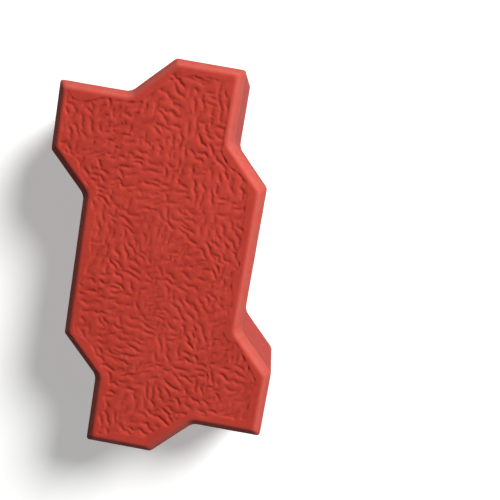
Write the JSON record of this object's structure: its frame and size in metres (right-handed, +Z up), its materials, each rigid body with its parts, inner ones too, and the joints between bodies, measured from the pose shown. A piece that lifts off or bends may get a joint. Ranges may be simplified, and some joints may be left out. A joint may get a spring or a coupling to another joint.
{
  "type": "concrete paving stone",
  "caption": "Flat concrete paver with zig-zag sides that interlock with its neighbours, a bevel round the grooved walking face and a flat bed face.",
  "frame": {"origin": "middle of the bed face, at the centre of the zig-zag outline", "axes": "+Z up from the bed face to the walking face, +Y along the stone, +X across it; the laying module repeats along X and Y"},
  "size_m": [0.1274, 0.24, 0.06],
  "materials": {
    "red_concrete": "matte cast concrete, red oxide colour through the whole stone"
  },
  "bodies": {
    "root": {"paving_stone": "red_concrete"}
  },
  "joints": []
}
